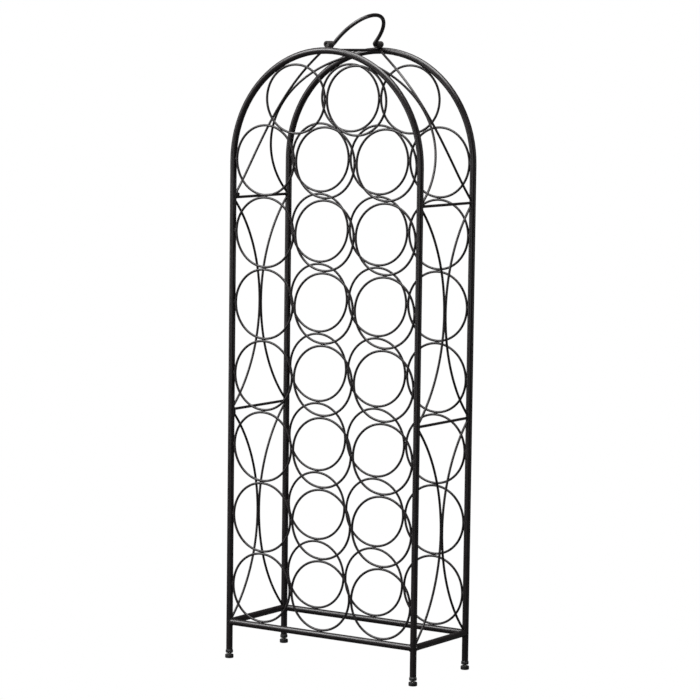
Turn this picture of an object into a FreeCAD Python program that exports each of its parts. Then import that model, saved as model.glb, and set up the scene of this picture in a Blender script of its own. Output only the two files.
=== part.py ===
import FreeCAD, Part
import math
import os

# Free-standing arched wine rack: two bent tube hoops, one behind the other, each filled with
# welded wire rings.  A bottle lies through one front ring and the rear ring behind it.
# Millimetres.  X is the width, +Y runs to the back, +Z is up.  The origin is on the floor,
# under the middle of the rack.

Vector = FreeCAD.Vector

# ---- driving dimensions ---------------------------------------------------------------
# bottle rings
pitch = 104.0                  # from one ring's centre to the next, across and up
columns = 3                    # rings in each full row
full_rows = 7                  # full rows; one row of two rings nests on top of them
ring_wire = 3.5                # wire diameter of the rings
nested_squeeze = 2.4           # how much the nested rings are pressed flat under the arch
weld_gap = 0.1                 # hairline left where two welded pieces meet

# tube frame
tube = 9.5                     # outside diameter of the hoops and bottom rails
tube_wall = 1.0
depth = 140.0                  # from the front hoop's plane to the rear hoop's plane
rail_height = 54.0             # from the floor to the bottom rails' centre

# side wires
bow_wire = 3.5
crossbar_wire = 4.0
arch_bow_sag = {"left": 51.0, "right": 47.5}   # seen from the front, off each bow's chord
arch_bow_offset = {"left": 7.0, "right": 0.0}  # of a bow's upper end from the apex
arch_steps = 16                # spans between the points that set an arched bow's curve
mid_crossbar_rise = 315.0      # above the bottom rails' centre
upper_crossbar_rise = 625.0
top_crossbar_rise = 0.7        # above the hoops' centre line at the apex

# carrying handle
handle_rod = 5.5
handle_span = 104.0            # between the centre lines of its two legs
handle_elbow = 3.5             # bend radius where a leg turns into its journal
handle_lean = 41.0             # degrees from upright, towards +X
handle_shift = 0.5             # slid forward until its elbow meets the front barrel
barrel_length = 14.0
barrel_outboard = 0.5          # how far a barrel passes its hoop's plane
barrel_seat = 0.5              # how deep a barrel is notched over its hoop
journal_recess = 2.0           # from the front journal's end to the mouth of its barrel
running_gap = 0.1              # radial gap of the handle in its barrels

# levelling feet
pad_diameter = 12.5
pad_height = 5.5
pad_top_round = 1.2
pad_foot_round = 0.8
pad_floor = 1.4                # pad material under the stud's head
head_diameter = 8.4
head_height = 2.0
head_gap = 0.1
stud_diameter = 4.9
stud_top = 22.0                # height of the stud's tip above the floor
stud_chamfer = 0.6             # at the stud's tip
thread_gap = 0.05
neck = 2.0                     # bare stud between the pad and the leg insert
collar_diameter = 11.0
collar_height = 5.0
collar_round = 0.8
plug_length = 14.0             # part of the insert inside the tube
plug_gap = 0.05

# ---- dimensions that follow -----------------------------------------------------------
tube_radius = tube / 2
clear_radius = tube_radius + weld_gap / 2
ring_radius = (pitch - weld_gap - ring_wire) / 2
half_width = (columns * pitch + tube) / 2
half_depth = depth / 2
first_row = rail_height + tube_radius + pitch / 2
last_full_row = first_row + (full_rows - 1) * pitch

# Each nested ring is an oval, as wide as the pitch.  It leans on two rings below, and on the
# inside of the hoop above, which sets where the hoop's round part springs.
lean = math.radians(60)
nested_height = pitch - nested_squeeze
nested_radius = math.hypot(pitch / 2 * math.cos(lean), nested_height / 2 * math.sin(lean))
nested_row = last_full_row + math.sqrt((pitch / 2 + nested_radius) ** 2 - (pitch / 2) ** 2)
nested_reach = half_width - tube_radius - nested_radius
spring_line = nested_row - math.sqrt(nested_reach ** 2 - (pitch / 2) ** 2)
apex = spring_line + half_width

mid_crossbar = rail_height + mid_crossbar_rise
upper_crossbar = rail_height + upper_crossbar_rise
leg_end = pad_height + neck + collar_height
barrel_height = apex + 2 * tube_radius - barrel_seat

tolerance = 0.01               # for telling edges apart by their place

SIDES = {"left": -1, "right": 1}
FACES = {"front": -1, "rear": 1}
X_AXIS = Vector(1, 0, 0)
Y_AXIS = Vector(0, 1, 0)
Z_AXIS = Vector(0, 0, 1)
CENTRE = Vector(0, 0, 0)


def export(name, *solids):
    """Write one node: a single solid, or a group of separate ones."""
    shape = solids[0] if len(solids) == 1 else Part.makeCompound(list(solids))
    shape.exportStep(f"parts/{name}.step")


def bar_along(edges, radius):
    """Round bar of one radius along edges that follow each other."""
    path = Part.Wire(edges)
    first = edges[0]
    start = first.valueAt(first.FirstParameter)
    heading = first.tangentAt(first.FirstParameter)
    section = Part.Wire(Part.makeCircle(radius, start, heading))
    return path.makePipeShell([section], True, True)


def straight(start, end):
    return Part.LineSegment(start, end).toShape()


def arc(start, through, end):
    return Part.Arc(start, through, end).toShape()


def tube_along(edges):
    """Hollow tube of the frame's size along edges that follow each other."""
    return bar_along(edges, tube_radius).cut(bar_along(edges, tube_radius - tube_wall))


def turned(outline):
    """Solid turned about the Z axis from an outline of (radius, height) points."""
    points = [Vector(radius, 0, height) for radius, height in outline]
    face = Part.Face(Part.makePolygon(points + points[:1]))
    return face.revolve(CENTRE, Z_AXIS, 360)


def post_room(x, y):
    """The space a post takes, with the weld gap round it."""
    return Part.makeCylinder(clear_radius, spring_line, Vector(x, y, 0))


def hoop_room(y):
    """The space a whole hoop takes, with the weld gap round it."""
    arch = Part.makeTorus(half_width, clear_radius, Vector(0, y, spring_line), Y_AXIS)
    return Part.makeCompound([arch, post_room(-half_width, y), post_room(half_width, y)])


# ---- hoops: one bent tube each, both legs and the arch --------------------------------
def hoop(y):
    left_foot = Vector(-half_width, y, leg_end)
    left_spring = Vector(-half_width, y, spring_line)
    right_spring = Vector(half_width, y, spring_line)
    right_foot = Vector(half_width, y, leg_end)
    return tube_along([
        straight(left_foot, left_spring),
        arc(left_spring, Vector(0, y, apex), right_spring),
        straight(right_spring, right_foot),
    ])


# ---- bottom rails: straight tubes coped round the posts -------------------------------
def cross_rail(y):
    rail = tube_along([straight(Vector(-half_width, y, rail_height), Vector(half_width, y, rail_height))])
    return rail.cut(post_room(-half_width, y)).cut(post_room(half_width, y))


def side_rail(x):
    rail = tube_along([straight(Vector(x, -half_depth, rail_height), Vector(x, half_depth, rail_height))])
    for y in (-half_depth, half_depth):
        cross_room = Part.makeCylinder(
            clear_radius, 2 * half_width, Vector(-half_width, y, rail_height), X_AXIS)
        rail = rail.cut(post_room(x, y)).cut(cross_room)
    return rail


# ---- bottle rings: closed wire rings, welded side by side and row on row --------------
def ring(x, y, z):
    return Part.makeTorus(ring_radius, ring_wire / 2, Vector(x, y, z), Y_AXIS)


def nested_ring(x, y):
    """An oval ring: a little lower than it is wide."""
    across = ring_radius
    centre = Vector(x, y, nested_row)
    oval = Part.Ellipse(centre + across * X_AXIS, centre + (across - nested_squeeze / 2) * Z_AXIS, centre)
    return bar_along([oval.toShape()], ring_wire / 2)


def ring_row(y, row):
    """One row of rings, counted from 1 at the bottom; the last row nests on the full ones."""
    if row > full_rows:
        return [nested_ring(x, y) for x in (-pitch / 2, pitch / 2)]
    middle = (columns - 1) / 2
    height = first_row + (row - 1) * pitch
    return [ring((column - middle) * pitch, y, height) for column in range(columns)]


# ---- crossbars: straight wires from the front hoop to the rear one --------------------
def crossbar(x, z):
    bar = bar_along([straight(Vector(x, -half_depth, z), Vector(x, half_depth, z))], crossbar_wire / 2)
    return bar.cut(hoop_room(-half_depth)).cut(hoop_room(half_depth))


# ---- bow wires: each leaves a post, bows to mid-depth and comes back ------------------
def bow_depth(along, length):
    """How far a bow stands off its hoop's plane, at a distance along its bay."""
    rise = half_depth - (bow_wire + weld_gap) / 2
    half_length = length / 2
    radius = (half_length ** 2 + rise ** 2) / (2 * rise)
    return rise - radius + math.sqrt(radius ** 2 - (along - half_length) ** 2)


def side_bow(x, face, low, high):
    """Bow of an upright bay: one circular arc between two heights."""
    y = face * half_depth
    middle = face * (half_depth - bow_depth((high - low) / 2, high - low))
    edges = [arc(Vector(x, y, low), Vector(x, middle, (low + high) / 2), Vector(x, y, high))]
    rail_room = Part.makeCylinder(
        clear_radius, depth, Vector(x, -half_depth, rail_height), Y_AXIS)
    return bar_along(edges, bow_wire / 2).cut(post_room(x, y)).cut(rail_room)


def arch_bow(side_name, face):
    """Bow of the arched bay, up to the apex: seen from the front it is an arc inside the hoop."""
    side, sag, offset = SIDES[side_name], arch_bow_sag[side_name], arch_bow_offset[side_name]
    low = Vector(side * half_width, 0, upper_crossbar)
    high = Vector(side * offset, 0, spring_line + math.sqrt(half_width ** 2 - offset ** 2))
    chord = (high - low).Length
    radius = (chord ** 2 / 4 + sag ** 2) / (2 * sag)
    upward = (high - low) / chord
    outward = Vector(side * (high.z - low.z), 0, half_width - offset) / chord
    hub = (low + high) / 2 - outward * (radius - sag)
    half_turn = math.asin(chord / 2 / radius)
    length = 2 * radius * half_turn
    points = []
    for step in range(arch_steps + 1):
        turn = half_turn * (2 * step / arch_steps - 1)
        point = hub + outward * (radius * math.cos(turn)) + upward * (radius * math.sin(turn))
        point.y = face * (half_depth - bow_depth(length * step / arch_steps, length))
        points.append(point)
    curve = Part.BSplineCurve()
    curve.interpolate(points)
    bow = bar_along([curve.toShape()], bow_wire / 2)
    return bow.cut(hoop_room(face * half_depth))


# ---- handle barrels: short tubes across the tops of the hoops -------------------------
def handle_barrel(face):
    mouth = face * (half_depth + barrel_outboard)
    outer = Part.makeCylinder(
        tube_radius, barrel_length, Vector(0, mouth, barrel_height), Vector(0, -face, 0))
    bore = Part.makeCylinder(
        handle_rod / 2 + running_gap, barrel_length, Vector(0, mouth, barrel_height), Vector(0, -face, 0))
    return outer.cut(bore).cut(hoop_room(face * half_depth))


# ---- carrying handle: one bent rod, its ends turned out into the barrels --------------
def carry_handle():
    leg = handle_span / 2
    journal = half_depth + barrel_outboard - journal_recess - handle_shift
    bend = handle_elbow
    diagonal = bend * math.sqrt(0.5)

    def at(y, z):
        return Vector(0, y - handle_shift, barrel_height + z)

    rod = bar_along([
        straight(at(-journal, 0), at(-leg - bend, 0)),
        arc(at(-leg - bend, 0), at(-leg - bend + diagonal, bend - diagonal), at(-leg, bend)),
        arc(at(-leg, bend), at(0, bend + leg), at(leg, bend)),
        arc(at(leg, bend), at(leg + bend - diagonal, bend - diagonal), at(leg + bend, 0)),
        straight(at(leg + bend, 0), at(journal, 0)),
    ], handle_rod / 2)
    rod.rotate(Vector(0, 0, barrel_height), Y_AXIS, handle_lean)
    return rod


# ---- levelling feet: a pad, a threaded stud that turns in it, an insert in the leg ----
def rim_at(shape, height):
    """The edges that lie flat at one height."""
    rim = []
    for edge in shape.Edges:
        box = edge.BoundBox
        if abs(box.ZMin - height) < tolerance and abs(box.ZMax - height) < tolerance:
            rim.append(edge)
    return rim


def foot_pad():
    radius = pad_diameter / 2
    cavity_radius = head_diameter / 2 + head_gap
    hole_radius = stud_diameter / 2 + head_gap
    cavity_top = pad_floor + head_height + 2 * head_gap
    blank = Part.makeCylinder(radius, pad_height)
    blank = blank.makeFillet(pad_top_round, rim_at(blank, pad_height))
    blank = blank.makeFillet(pad_foot_round, rim_at(blank, 0))
    cavity = turned([
        (0, pad_floor), (cavity_radius, pad_floor), (cavity_radius, cavity_top),
        (hole_radius, cavity_top), (hole_radius, pad_height), (0, pad_height),
    ])
    return blank.cut(cavity)


def levelling_stud():
    head_base = pad_floor + head_gap
    head_radius = head_diameter / 2
    shank = stud_diameter / 2
    return turned([
        (0, head_base), (head_radius, head_base), (head_radius, head_base + head_height),
        (shank, head_base + head_height), (shank, stud_top - stud_chamfer),
        (shank - stud_chamfer, stud_top), (0, stud_top),
    ])


def leg_insert():
    bore = stud_diameter / 2 + thread_gap
    plug = tube_radius - tube_wall - plug_gap
    collar = collar_diameter / 2
    base = leg_end - collar_height
    return turned([
        (bore, base), (collar - collar_round, base), (collar, base + collar_round),
        (collar, leg_end - collar_round), (collar - collar_round, leg_end - plug_gap),
        (plug, leg_end - plug_gap), (plug, leg_end + plug_length), (bore, leg_end + plug_length),
    ])


def moved(shape, x, y):
    shape.translate(Vector(x, y, 0))
    return shape


os.makedirs("parts", exist_ok=True)

for face_name, face in FACES.items():
    plane = face * half_depth
    export(f"{face_name}_hoop", hoop(plane))
    export(f"{face_name}_bottom_rail", cross_rail(plane))
    export(f"{face_name}_handle_barrel", handle_barrel(face))
    for row in range(1, full_rows + 2):
        export(f"{face_name}_ring_row_{row}", *ring_row(plane, row))

for side_name, side in SIDES.items():
    x = side * half_width
    export(f"{side_name}_bottom_rail", side_rail(x))
    export(f"{side_name}_mid_crossbar", crossbar(x, mid_crossbar))
    export(f"{side_name}_upper_crossbar", crossbar(x, upper_crossbar))
    for face_name, face in FACES.items():
        export(f"{side_name}_lower_bow_{face_name}", side_bow(x, face, rail_height, mid_crossbar))
        export(f"{side_name}_upper_bow_{face_name}", side_bow(x, face, mid_crossbar, upper_crossbar))
        export(f"{side_name}_arch_bow_{face_name}", arch_bow(side_name, face))
        corner = f"{face_name}_{side_name}"
        export(f"{corner}_leg_insert", moved(leg_insert(), x, face * half_depth))
        export(f"{corner}_levelling_stud", moved(levelling_stud(), x, face * half_depth))
        export(f"{corner}_foot_pad", moved(foot_pad(), x, face * half_depth))

export("top_crossbar", crossbar(0, apex + top_crossbar_rise))
export("carry_handle", carry_handle())
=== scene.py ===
import math
import random

import bmesh
import bpy
from mathutils import Euler, Matrix, Vector


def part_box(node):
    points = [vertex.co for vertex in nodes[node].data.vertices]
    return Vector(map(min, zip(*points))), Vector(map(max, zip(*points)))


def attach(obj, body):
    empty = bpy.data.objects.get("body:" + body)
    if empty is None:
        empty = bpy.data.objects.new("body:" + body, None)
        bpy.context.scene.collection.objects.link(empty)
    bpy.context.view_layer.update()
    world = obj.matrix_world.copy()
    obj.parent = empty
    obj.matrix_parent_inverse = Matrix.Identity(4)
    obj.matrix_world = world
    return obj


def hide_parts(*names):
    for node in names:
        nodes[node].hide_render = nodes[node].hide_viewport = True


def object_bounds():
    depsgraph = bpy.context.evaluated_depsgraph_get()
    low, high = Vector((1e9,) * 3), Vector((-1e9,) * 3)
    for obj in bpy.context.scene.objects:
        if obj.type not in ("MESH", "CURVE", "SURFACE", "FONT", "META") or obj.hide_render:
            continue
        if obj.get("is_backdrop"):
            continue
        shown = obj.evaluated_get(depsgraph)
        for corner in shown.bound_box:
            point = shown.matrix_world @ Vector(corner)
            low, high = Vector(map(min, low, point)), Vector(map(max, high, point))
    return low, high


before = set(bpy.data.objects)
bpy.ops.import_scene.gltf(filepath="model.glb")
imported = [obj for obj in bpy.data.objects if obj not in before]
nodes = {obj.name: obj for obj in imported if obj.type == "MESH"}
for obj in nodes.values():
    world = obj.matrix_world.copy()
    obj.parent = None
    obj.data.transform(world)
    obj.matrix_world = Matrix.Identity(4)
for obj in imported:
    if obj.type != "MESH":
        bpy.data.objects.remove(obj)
cad_low, cad_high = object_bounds()
MM = 0.001


# ---- the two hoops ----------------------------------------------------------------------
# Each hoop is one length of 9.5 mm round steel tube, bent on rollers into both legs and the
# arch, then powder coated satin black and baked: a fine orange peel, hardly any sheen.

def shader_tree(name):
    """A new node material, and a function that adds a node to it and links what it is given."""
    material = bpy.data.materials.new(name)
    material.use_nodes = True
    tree = material.node_tree
    tree.nodes.clear()

    def add(kind, operation=None, data_type=None, **inputs):
        made = tree.nodes.new("ShaderNode" + kind)
        if operation:
            made.operation = operation
        if data_type:
            made.data_type = data_type
        for socket, value in inputs.items():
            numbered = socket[0] == "i" and socket[1:].isdigit()
            place = made.inputs[int(socket[1:]) if numbered else socket.replace("_", " ")]
            if isinstance(value, bpy.types.NodeSocket):
                tree.links.new(value, place)
            else:
                place.default_value = value
        return made

    return material, add


def colour_between(add, factor, first, second):
    """A colour that runs from the first to the second as the factor goes from 0 to 1."""
    return add("Mix", data_type="RGBA", i0=factor, i6=first, i7=second).outputs[2]


def powder_coat(name, colour, roughness, peel, worn=None):
    """Satin powder coat: mottled colour, orange peel of one size, dust on what faces up.

    Where worn is given, edges sharper than that are rubbed through to a paler primer.
    """
    material, add = shader_tree(name)
    place = add("TexCoord").outputs["Object"]
    mottle = add("TexNoise", Vector=place, Scale=38.0, Detail=5.0, Roughness=0.6).outputs["Fac"]
    cloud = add("TexNoise", Vector=place, Scale=9.0, Detail=2.0).outputs["Fac"]
    peel_wave = add("TexNoise", Vector=place, Scale=1 / peel, Detail=2.0, Roughness=0.45).outputs["Fac"]
    grain = add("TexNoise", Vector=place, Scale=5 / peel, Detail=1.0).outputs["Fac"]

    dark = tuple(0.72 * c for c in colour) + (1,)
    light = tuple(1.35 * c for c in colour) + (1,)
    tone = add("MapRange", Value=mottle, From_Min=0.3, From_Max=0.7).outputs[0]
    body = colour_between(add, tone, dark, light)

    up = add("SeparateXYZ", Vector=add("NewGeometry").outputs["Normal"]).outputs["Z"]
    facing = add("MapRange", Value=up, From_Min=0.45, From_Max=1.0).outputs[0]
    settled = add("MapRange", Value=cloud, From_Min=0.35, From_Max=0.75,
                  To_Min=0.15, To_Max=0.6).outputs[0]
    dust = add("Math", "MULTIPLY", i0=facing, i1=settled).outputs[0]
    dust = add("Math", "MULTIPLY", i0=dust, i1=0.14).outputs[0]
    body = colour_between(add, dust, body, (0.16, 0.155, 0.15, 1))

    if worn:
        edge = add("MapRange", Value=add("NewGeometry").outputs["Pointiness"],
                   From_Min=worn, From_Max=worn + 0.08).outputs[0]
        rubbed = add("Math", "MULTIPLY", i0=edge, i1=mottle).outputs[0]
        body = colour_between(add, rubbed, body, (0.10, 0.095, 0.09, 1))

    sheen = add("MapRange", Value=mottle, From_Min=0.25, From_Max=0.75,
                To_Min=roughness - 0.05, To_Max=roughness + 0.07).outputs[0]
    sheen = add("Math", "ADD", i0=sheen, i1=dust).outputs[0]
    fine = add("Bump", Strength=0.08, Distance=0.00005, Height=grain).outputs[0]
    surface = add("Bump", Strength=0.22, Distance=0.00014, Height=peel_wave, Normal=fine).outputs[0]
    coat = add("BsdfPrincipled", Base_Color=body, Roughness=sheen, Normal=surface, IOR=1.5)
    add("OutputMaterial", Surface=coat.outputs[0])
    return material


def finish_with(material, *names):
    """Gives CAD nodes their material."""
    for name in names:
        if not nodes[name].material_slots:
            nodes[name].data.materials.append(material)
        for held in nodes[name].material_slots:
            held.material = material


coat_black = (0.0120, 0.0094, 0.0100)
tube_coat = powder_coat("satin_coat_on_tube", coat_black, 0.30, 1.4 * MM)
finish_with(tube_coat, "front_hoop", "rear_hoop")

# ---- bottom rails -----------------------------------------------------------------------
# Four straight lengths of the same tube close the frame near the floor. Each end is coped to
# the leg it meets and welded all round, so a rippled bead follows the cope.
rail_names = ("front_bottom_rail", "rear_bottom_rail", "left_bottom_rail", "right_bottom_rail")
finish_with(tube_coat, *rail_names)
weld_coat = powder_coat("satin_coat_on_weld", coat_black, 0.33, 1.1 * MM)


def start_mesh(name):
    """Names the newest primitive, which alone is selected, and opens it for editing."""
    piece = bpy.context.object
    piece.name = piece.data.name = name
    bpy.ops.object.mode_set(mode="EDIT")
    return piece


def pick(piece, wanted):
    """In edit mode, selects the corners whose place fits, and the faces between them."""
    bpy.ops.mesh.select_all(action="DESELECT")
    mesh = bmesh.from_edit_mesh(piece.data)
    for corner in mesh.verts:
        corner.select = wanted(corner.co)
    mesh.select_flush(True)
    bmesh.update_edit_mesh(piece.data)


def done(piece):
    """Closes the edit, with the normals outward and smooth shading."""
    bpy.ops.mesh.select_all(action="SELECT")
    bpy.ops.mesh.normals_make_consistent(inside=False)
    bpy.ops.object.mode_set(mode="OBJECT")
    bpy.ops.object.shade_smooth()


def copy_of(piece, matrix):
    """Another one of a piece, with its own mesh, put in place and its faces still outward."""
    other = piece.copy()
    other.data = piece.data.copy()
    other.data.transform(matrix)
    if matrix.determinant() < 0:
        other.data.flip_normals()
    bpy.context.collection.objects.link(other)
    return other


def gathered(name, parts, material, body):
    """Joins parts into one piece that rides on a body."""
    bpy.ops.object.select_all(action="DESELECT")
    for part in parts:
        part.select_set(True)
    bpy.context.view_layer.objects.active = parts[0]
    bpy.ops.object.join()
    whole = bpy.context.object
    whole.name = whole.data.name = name
    whole.data.materials.clear()
    whole.data.materials.append(material)
    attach(whole, body)
    return whole


leg_low, leg_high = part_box("front_hoop")
tube_radius = (leg_high.y - leg_low.y) / 2
post_x = leg_high.x - tube_radius
face_y = {"front": (leg_low.y + leg_high.y) / 2, "rear": sum(c.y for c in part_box("rear_hoop")) / 2}
rail_low, rail_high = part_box("front_bottom_rail")
rail_z = (rail_low.z + rail_high.z) / 2

hairline = 0.1 * MM
bead_radius = 0.75 * MM
bead_steps, steps_per_ripple = 60, 4
ripple_height = 0.14 * MM
bpy.ops.object.select_all(action="DESELECT")
bpy.ops.mesh.primitive_torus_add(
    major_radius=tube_radius + hairline, minor_radius=bead_radius,
    major_segments=bead_steps, minor_segments=8, rotation=(0, math.radians(90), 0))
bpy.ops.object.transform_apply(location=False)
cope_bead = start_mesh("cope_bead")
pick(cope_bead, lambda co: round(math.atan2(co.z, co.y) / math.tau * bead_steps) % steps_per_ripple == 0)
bpy.ops.transform.shrink_fatten(value=ripple_height)
done(cope_bead)
# two tubes of one size meet in a saddle, which leans away from the leg above and below
for corner in cope_bead.data.vertices:
    corner.co.x += abs(corner.co.z)

rail_beads = []
for side in (-1, 1):
    for y in face_y.values():
        joint = Matrix.Translation((side * post_x, y, rail_z))
        turn = Matrix.Rotation(math.radians(90 if y < 0 else -90), 4, "Z")
        rail_beads.append(copy_of(cope_bead, joint @ Matrix.Diagonal((-side, 1, 1, 1))))
        rail_beads.append(copy_of(cope_bead, joint @ turn))
bpy.data.objects.remove(cope_bead)
gathered("bottom_rail_welds", rail_beads, weld_coat, "rack_frame")

# ---- bottle rings -----------------------------------------------------------------------
# 46 closed rings of 3.5 mm wire, 23 in each hoop, tacked to each other, to the legs, to the
# bottom rail and to the arch. Every tack is a small puddle that fills the nick between wires.
TOP_ROW = 8
ring_rows = range(1, TOP_ROW + 1)
wire_coat = powder_coat("satin_coat_on_wire", coat_black, 0.34, 0.9 * MM)
for face in face_y:
    finish_with(wire_coat, *[f"{face}_ring_row_{row}" for row in ring_rows])

bpy.ops.object.select_all(action="DESELECT")
bpy.ops.mesh.primitive_uv_sphere_add(segments=10, ring_count=8, radius=1, rotation=(0, math.radians(90), 0))
bpy.ops.object.transform_apply(location=False)
puddle = start_mesh("puddle")
# a puddle ends bluntly, dips at its shoulders and swells in the middle
for near, far, fuller in ((0.85, 1.1, 1.35), (0.3, 0.6, 0.86), (-1.0, 0.1, 1.06)):
    pick(puddle, lambda co: near < abs(co.x) < far)
    bpy.ops.transform.resize(value=(1, fuller, fuller))
done(puddle)

hand = random.Random(11)
WIRE_TACK = (6.0, 3.0, 3.4)
TUBE_TACK = (7.5, 3.4, 4.6)  # between a wire and a tube the nick is wider
UP, ACROSS, DEEP = Vector((0, 0, 1)), Vector((1, 0, 0)), Vector((0, 1, 0))


def tack(where, along, across, size):
    """A tack weld, its length one way and its width across the nick. size is in millimetres."""
    along, across = Vector(along).normalized(), Vector(across).normalized()
    through = along.cross(across)
    uneven = [hand.uniform(0.9, 1.12) for _ in size]
    shift = along * hand.uniform(-0.3, 0.3) * MM
    half_sizes = [extent * MM / 2 * share for extent, share in zip(size, uneven)]
    axes = [way * half for way, half in zip((along, across, through), half_sizes)]
    return copy_of(puddle, Matrix.Translation(Vector(where) + shift) @ Matrix(axes).transposed().to_4x4())


hoop_top = leg_high.z
for face, y in face_y.items():
    rows = {}
    for row in ring_rows:
        low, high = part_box(f"{face}_ring_row_{row}")
        columns = 3 if row < TOP_ROW else 2
        pitch = (high.x - low.x) / columns
        rows[row] = [Vector((low.x + pitch * (c + 0.5), y, (low.z + high.z) / 2)) for c in range(columns)]
    half = pitch / 2
    touching = 1.1 * pitch
    arch_centre = Vector((0, y, hoop_top - leg_high.x))
    for row, centres in rows.items():
        tacks = [tack(a.lerp(b, 0.5), UP, ACROSS, WIRE_TACK) for a, b in zip(centres, centres[1:])]
        if row < TOP_ROW:
            for beside in (centres[0] - half * ACROSS, centres[-1] + half * ACROSS):
                tacks.append(tack(beside, UP, ACROSS, TUBE_TACK))
        if row == 1:
            tacks += [tack(c - half * UP, ACROSS, UP, TUBE_TACK) for c in centres]
        for centre in centres if row > 1 else []:
            for under in rows[row - 1]:
                link = centre - under
                if link.length < touching:
                    tacks.append(tack(under.lerp(centre, 0.5), (link.z, 0, -link.x), link, WIRE_TACK))
        for centre in centres if row == TOP_ROW else []:
            outward = (centre - arch_centre).normalized()
            inside_arch = arch_centre + outward * (post_x - tube_radius)
            tacks.append(tack(inside_arch, (outward.z, 0, -outward.x), outward, TUBE_TACK))
        gathered(f"{face}_row_{row}_welds", tacks, weld_coat, "rack_frame")

# ---- crossbars and bow wires ------------------------------------------------------------
# Straight 4 mm wires tie the two hoops together on each side and at the top. Bowed 3.5 mm
# wires fill the bays between them in pairs that touch, and are tacked, at mid-depth.
SIDES = {"left": -post_x, "right": post_x}
BAYS = ("lower", "upper", "arch")
for side in SIDES:
    finish_with(wire_coat, f"{side}_mid_crossbar", f"{side}_upper_crossbar")
    for bay in BAYS:
        finish_with(wire_coat, f"{side}_{bay}_bow_front", f"{side}_{bay}_bow_rear")
finish_with(wire_coat, "top_crossbar")


def nearest_to_middle(name):
    """Where a bow comes nearest to mid-depth, and which way its wire runs there."""
    corners = [v.co for v in nodes[name].data.vertices]
    reach = min(abs(co.y) for co in corners)
    close = [co for co in corners if abs(co.y) < reach + 1.5 * MM]
    tip = [co for co in close if abs(co.y) < reach + 0.08 * MM]
    place = sum(tip, Vector()) / len(tip)
    run = max(close, key=lambda co: co.z) - min(close, key=lambda co: co.z)
    return Vector((place.x, 0, place.z)), Vector((run.x, 0, run.z))


BOW_TACK = (8.5, 3.1, 3.4)
for side in SIDES:
    bow_tacks = []
    for bay in BAYS:
        place, run = nearest_to_middle(f"{side}_{bay}_bow_front")
        bow_tacks.append(tack(place, run, DEEP, BOW_TACK))
    gathered(f"{side}_bow_tacks", bow_tacks, weld_coat, "rack_frame")

# Where a crossbar meets a leg, the two bows that end there run into the same puddle.
BOW_ON_RAIL = (5.0, 6.0, 4.2)
BOWS_ON_LEG = (11.5, 3.4, 4.4)
CROSSBAR_ON_LEG = (5.5, 4.8, 4.8)
# The welder left too much metal on the front left leg: a lump round the middle crossbar, and
# a gusset of two between the upper crossbar and the bow above. Each has its place from the
# joint, the way it runs, the way of its width, and its size, in millimetres.
LUMPS = (
    ("mid", (0, 1.6, -0.8), (0, -0.35, 1), (0, 1, 0), (12, 6.4, 5.2)),
    ("upper", (0.8, 2.2, 3.6), (0, 0.45, 1), (0, 1, -0.45), (12, 6.6, 5)),
    ("upper", (0.6, 4.8, 3.4), (0, 1, 0.2), (0, 0, 1), (9, 7.4, 5)),
)
crossbar_z = {level: sum(c.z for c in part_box(f"left_{level}_crossbar")) / 2 for level in ("mid", "upper")}
for side, x in SIDES.items():
    joints = []
    for y in face_y.values():
        inward = -math.copysign(1, y) * DEEP
        skin = Vector((x, y, 0)) + tube_radius * inward
        on_rail = skin + (rail_z + tube_radius) * UP + 0.4 * MM * (inward + UP)
        joints.append(tack(on_rail, inward + UP, inward - UP, BOW_ON_RAIL))
        for z in crossbar_z.values():
            joint = skin + z * UP
            joints.append(tack(joint + 0.5 * MM * inward, UP, inward, BOWS_ON_LEG))
            joints.append(tack(joint + 1.2 * MM * inward, inward, UP, CROSSBAR_ON_LEG))
    for level, offset, along, across, size in LUMPS if side == "left" else []:
        joint = Vector((x, face_y["front"] + tube_radius, crossbar_z[level]))
        joints.append(tack(joint + Vector(offset) * MM, along, across, size))
    gathered(f"{side}_leg_joint_welds", joints, weld_coat, "rack_frame")

# ---- handle barrels and carrying handle -------------------------------------------------
# Two short tubes sit across the tops of the hoops, notched and welded on. The handle is one
# 5.5 mm rod bent to a half ring; its ends spring into the barrels, where they rub bare.
barrel_coat = powder_coat("satin_coat_on_barrel", coat_black, 0.34, 1.2 * MM, worn=0.60)
finish_with(barrel_coat, "front_handle_barrel", "rear_handle_barrel")

BARREL_ON_HOOP = (9.0, 3.4, 2.6)
CROSSBAR_ON_HOOP = (8.0, 5.0, 3.4)
BOW_ON_HOOP = (7.0, 4.6, 4.2)
nick_out, nick_up = 3.1 * MM, 0.1 * MM
top_welds = []
bar_z = sum(c.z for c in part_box("top_crossbar")) / 2
for face, y in face_y.items():
    inward = -math.copysign(1, y) * DEEP
    low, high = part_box(f"{face}_handle_barrel")
    seat = (low + high) / 2
    seat.z = hoop_top
    for side in (-1, 1):
        nick = seat + Vector((side * nick_out, 0, nick_up))
        top_welds.append(tack(nick, DEEP, (side, 0, 0.4), BARREL_ON_HOOP))
    bar_end = Vector((0, y, bar_z)) + tube_radius * inward
    top_welds.append(tack(bar_end + 0.6 * MM * inward, ACROSS, UP, CROSSBAR_ON_HOOP))
    # the left arch bow stops short of the middle, so its end has a puddle of its own
    bow = [v.co for v in nodes[f"left_arch_bow_{face}"].data.vertices]
    peak = max(co.z for co in bow)
    tip = [co for co in bow if co.z > peak - 1.5 * MM]
    bow_end = sum(tip, Vector()) / len(tip)
    top_welds.append(tack(bow_end + 0.4 * MM * inward, ACROSS, UP, BOW_ON_HOOP))
gathered("top_welds", top_welds, weld_coat, "rack_frame")

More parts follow.
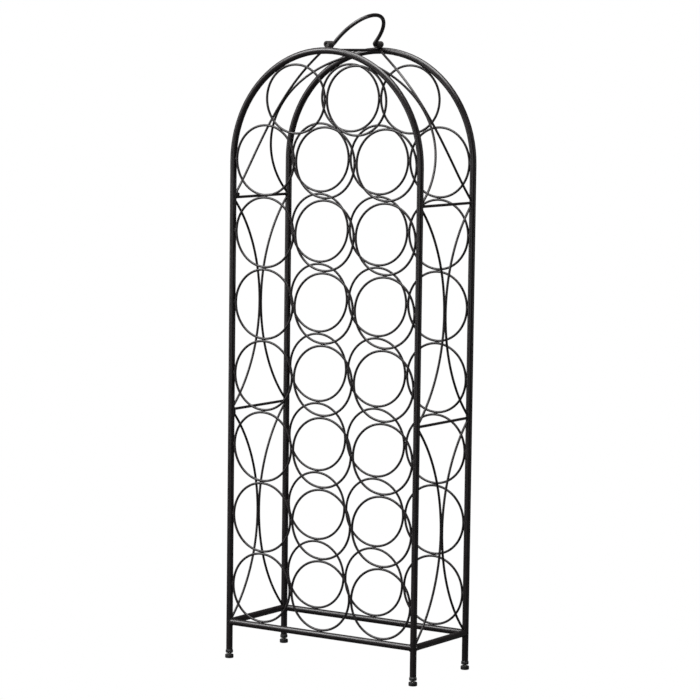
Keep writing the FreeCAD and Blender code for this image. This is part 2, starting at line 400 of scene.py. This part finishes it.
# along the rod, from mid-depth out: polished by hands, then paint, then bare in the barrels
grip_middle, grip_edge = 18 * MM, 40 * MM
barrel_mouth, rubbed_bare = 57.2 * MM, 59.0 * MM
rod_coat, add = shader_tree("rubbed_coat_on_rod")
place = add("TexCoord").outputs["Object"]
scuffs = add("TexNoise", Vector=place, Scale=420.0, Detail=4.0, Roughness=0.65).outputs["Fac"]
mottle = add("TexNoise", Vector=place, Scale=45.0, Detail=4.0).outputs["Fac"]
depth = add("SeparateXYZ", Vector=place).outputs["Y"]
off_middle = add("Math", "ABSOLUTE", i0=depth).outputs[0]
gripped = add("MapRange", Value=off_middle, From_Min=grip_edge, From_Max=grip_middle).outputs[0]
held = add("Math", "MULTIPLY", i0=gripped, i1=mottle).outputs[0]
turning = add("MapRange", Value=off_middle, From_Min=barrel_mouth, From_Max=rubbed_bare).outputs[0]
bare = add("Math", "MULTIPLY", i0=turning, i1=scuffs).outputs[0]
bare = add("MapRange", Value=bare, From_Min=0.36, From_Max=0.56).outputs[0]
colour = colour_between(add, bare, (*coat_black, 1), (0.30, 0.29, 0.28, 1))
sheen = add("MapRange", Value=held, From_Min=0.0, From_Max=0.7, To_Min=0.36, To_Max=0.22).outputs[0]
surface = add("Bump", Strength=0.25, Distance=0.0001, Height=scuffs).outputs[0]
paint = add("BsdfPrincipled", Base_Color=colour, Roughness=sheen, Metallic=bare, Normal=surface)
add("OutputMaterial", Surface=paint.outputs[0])
finish_with(rod_coat, "carry_handle")

# ---- levelling feet ---------------------------------------------------------------------
# A moulded plastic insert is pressed into each leg. A zinc-plated M5 stud screws into it, and
# its head turns in a moulded rubber pad, so a little bright thread shows between the two.
feet = [f"{face}_{side}" for face in ("front", "rear") for side in ("left", "right")]


def moulded(name, colour, roughness, grain_size, grain_depth, scuff_colour):
    """Moulded black plastic or rubber: fine grain, and edges scuffed lighter."""
    material, add = shader_tree(name)
    place = add("TexCoord").outputs["Object"]
    grain = add("TexNoise", Vector=place, Scale=1 / grain_size, Detail=3.0).outputs["Fac"]
    cloud = add("TexNoise", Vector=place, Scale=160.0, Detail=3.0).outputs["Fac"]
    edge = add("NewGeometry").outputs["Pointiness"]
    edge = add("MapRange", Value=edge, From_Min=0.52, From_Max=0.60).outputs[0]
    scuffed = add("Math", "MULTIPLY", i0=edge, i1=cloud).outputs[0]
    tone = colour_between(add, scuffed, (*colour, 1), (*scuff_colour, 1))
    sheen = add("MapRange", Value=cloud, From_Min=0.3, From_Max=0.7,
                To_Min=roughness - 0.06, To_Max=roughness + 0.06).outputs[0]
    surface = add("Bump", Strength=0.5, Distance=grain_depth, Height=grain).outputs[0]
    body = add("BsdfPrincipled", Base_Color=tone, Roughness=sheen, Normal=surface)
    add("OutputMaterial", Surface=body.outputs[0])
    return material


plastic = moulded("black_moulded_plastic", (0.016, 0.016, 0.0165), 0.45,
                  0.5 * MM, 0.00004, (0.06, 0.06, 0.06))
rubber = moulded("black_rubber", (0.012, 0.012, 0.012), 0.68,
                 0.25 * MM, 0.00007, (0.075, 0.072, 0.07))
for foot in feet:
    finish_with(plastic, f"{foot}_leg_insert")
    finish_with(rubber, f"{foot}_foot_pad")

zinc, add = shader_tree("zinc_plate")
place = add("TexCoord").outputs["Object"]
passivate = add("TexNoise", Vector=place, Scale=260.0, Detail=3.0).outputs["Fac"]
drawn = add("TexNoise", Vector=place, Scale=2400.0, Detail=2.0).outputs["Fac"]
colour = colour_between(add, passivate, (0.55, 0.56, 0.57, 1), (0.72, 0.70, 0.64, 1))
sheen = add("MapRange", Value=passivate, From_Min=0.3, From_Max=0.7, To_Min=0.22, To_Max=0.38).outputs[0]
surface = add("Bump", Strength=0.3, Distance=0.00003, Height=drawn).outputs[0]
plate = add("BsdfPrincipled", Base_Color=colour, Roughness=sheen, Metallic=1.0, Normal=surface)
add("OutputMaterial", Surface=plate.outputs[0])

stud_low, stud_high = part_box("front_left_levelling_stud")
head_radius = (stud_high.x - stud_low.x) / 2
head_thick, head_bevel = 2.0 * MM, 0.25 * MM
point_length, point_share = 0.5 * MM, 0.7
crest, root, lead = 2.45 * MM, 1.96 * MM, 0.8 * MM
top = stud_low.z + head_thick
bpy.ops.object.select_all(action="DESELECT")
bpy.ops.mesh.primitive_cylinder_add(
    vertices=32, radius=head_radius, depth=head_thick, location=(0, 0, stud_low.z + head_thick / 2))
bpy.ops.object.transform_apply()
stud = start_mesh("stud")
bpy.ops.mesh.bevel(offset=head_bevel, segments=2)
pick(stud, lambda co: co.z > top - 0.001 * MM)
bpy.ops.mesh.inset(thickness=head_radius - head_bevel - root)
for rise in (stud_high.z - top - point_length, point_length):
    bpy.ops.mesh.extrude_region_move(TRANSFORM_OT_translate={"value": (0, 0, rise)})
bpy.ops.transform.resize(value=(point_share, point_share, 1))
done(stud)

# the thread: one diamond section wound up the shank, a turn short of it at either end
flank = 0.30 * MM
bpy.ops.object.select_all(action="DESELECT")
bpy.ops.mesh.primitive_circle_add(
    vertices=4, radius=1, location=(root, 0, top + lead), rotation=(math.radians(90), 0, 0))
thread = bpy.context.object
thread.scale = (crest - root, flank, 1)
bpy.ops.object.transform_apply()
winding = thread.modifiers.new("winding", "SCREW")
winding.axis = "Z"
winding.screw_offset = lead
winding.iterations = int((stud_high.z - top - 2 * lead) / lead)
winding.steps = winding.render_steps = 28
bpy.ops.object.modifier_apply(modifier="winding")
thread = start_mesh("thread")
bpy.ops.mesh.select_all(action="SELECT")
bpy.ops.mesh.fill_holes(sides=4)
done(thread)
bpy.ops.object.shade_flat()

for foot in feet:
    low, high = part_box(f"{foot}_levelling_stud")
    place = Matrix.Translation(((low.x + high.x) / 2, (low.y + high.y) / 2, 0))
    whole = gathered(f"{foot}_threaded_stud", [copy_of(stud, place), copy_of(thread, place)],
                     zinc, f"{foot}_stud")
    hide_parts(f"{foot}_levelling_stud")
for pattern in (puddle, stud, thread):
    bpy.data.objects.remove(pattern)

# ---- camera, floor and light ------------------------------------------------------------
# The camera stands to the right of the front, at the height of the arch. Floor and backdrop
# are one white. Soft boxes hang overhead and on the left, with a strip each side and a fill.
look_down, look_round, roll = math.radians(6.051), math.radians(33.764), math.radians(0.725)
bpy.ops.object.camera_add(location=(2.4530, -3.6697, 0.9295))
camera = bpy.context.object
aim = Euler((math.radians(90) - look_down, 0, look_round)).to_matrix()
camera.rotation_euler = (aim @ Matrix.Rotation(roll, 3, "Z")).to_euler()
camera.data.lens = 157.55
camera.data.sensor_width = 36
camera.data.clip_end = 100
bpy.context.scene.camera = camera

bpy.ops.mesh.primitive_plane_add(size=60)
floor = bpy.context.object
floor.name = "floor"
floor_white, add = shader_tree("white_floor")
seen = add("LightPath").outputs["Is Camera Ray"]
matt = add("BsdfDiffuse", Color=(0.08, 0.08, 0.08, 1), Roughness=0.9).outputs[0]
paper = add("Emission", Color=(1, 1, 1, 1), Strength=1.0).outputs[0]
add("OutputMaterial", Surface=add("MixShader", i0=seen, i1=matt, i2=paper).outputs[0])
floor.data.materials.append(floor_white)
floor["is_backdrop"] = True

world = bpy.data.worlds.new("studio")
bpy.context.scene.world = world
world.use_nodes = True
sky = world.node_tree
sky.nodes.clear()
backdrop = sky.nodes.new("ShaderNodeBackground")
seen = sky.nodes.new("ShaderNodeLightPath").outputs["Is Camera Ray"]
strength = sky.nodes.new("ShaderNodeMapRange")
strength.inputs["To Min"].default_value = 0.07
strength.inputs["To Max"].default_value = 1.0
sky.links.new(seen, strength.inputs["Value"])
sky.links.new(strength.outputs[0], backdrop.inputs["Strength"])
backdrop.inputs["Color"].default_value = (1, 1, 1, 1)
sky.links.new(backdrop.outputs[0], sky.nodes.new("ShaderNodeOutputWorld").inputs[0])


def soft_light(name, at, size, power):
    """A rectangular soft box, turned to the middle of the rack, that the camera doesn't see."""
    bpy.ops.object.light_add(type="AREA", location=at)
    lamp = bpy.context.object
    lamp.name = name
    lamp.data.shape = "RECTANGLE"
    lamp.data.size, lamp.data.size_y = size
    lamp.data.energy = power
    lamp.visible_camera = False
    lamp.rotation_euler = (Vector(at) - (cad_low + cad_high) / 2).to_track_quat("Z", "Y").to_euler()


soft_light("overhead", (0.1, -0.3, 2.7), (1.6, 1.6), 75)
soft_light("key", (-1.9, -1.7, 2.6), (1.6, 1.6), 100)
soft_light("left_strip", (-2.5, -1.9, 0.8), (0.9, 2.6), 26)
soft_light("right_strip", (3.0, 1.0, 0.8), (0.6, 2.6), 10)
soft_light("fill", (0.9, -4.4, 0.6), (2.4, 1.6), 22)

bpy.context.scene.view_settings.view_transform = "Standard"

# ---- size -------------------------------------------------------------------------------
bpy.context.view_layer.update()
low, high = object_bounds()
